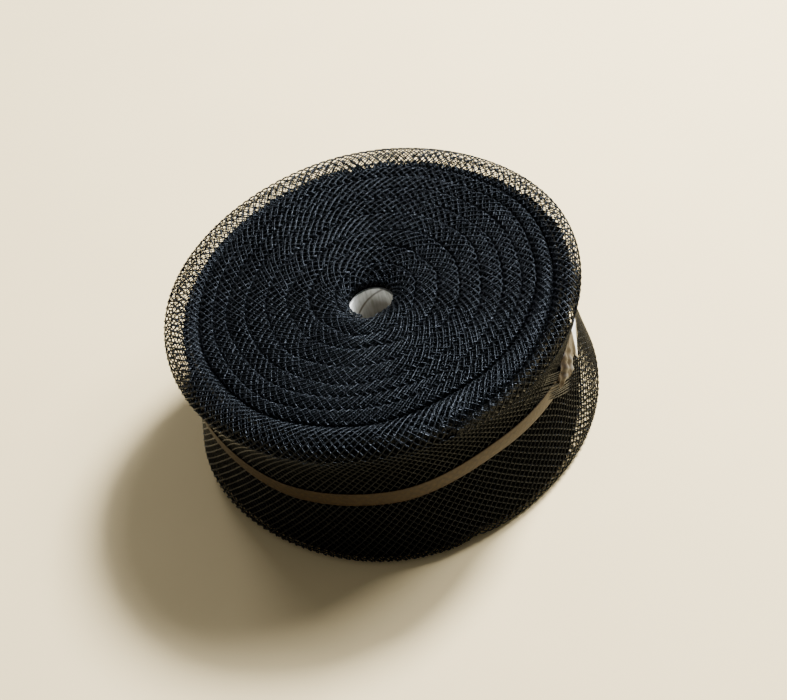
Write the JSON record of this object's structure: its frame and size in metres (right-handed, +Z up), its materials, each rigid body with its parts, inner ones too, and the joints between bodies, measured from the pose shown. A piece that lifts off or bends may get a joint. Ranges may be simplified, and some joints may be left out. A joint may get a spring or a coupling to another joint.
{
  "type": "roll of tree protection netting",
  "caption": "Black tubular plastic mesh sleeve wound flat on a cardboard core, its waist held by a strip of packing tape, for wrapping young tree trunks.",
  "frame": {"origin": "bottom centre of the roll, on the surface that it stands on", "axes": "+Z up along the core's axis, -Y towards the side the picture is taken from"},
  "size_m": [0.3022, 0.2996, 0.127],
  "materials": {
    "netting": "extruded black polyethylene mesh, slightly glossy strands",
    "core_board": "spiral wound grey board with a pale smooth liner",
    "tape": "glossy tan packing tape film"
  },
  "bodies": {
    "root": {"netting_roll": "netting", "core_tube": "core_board", "waist_tape": "tape"}
  },
  "joints": []
}
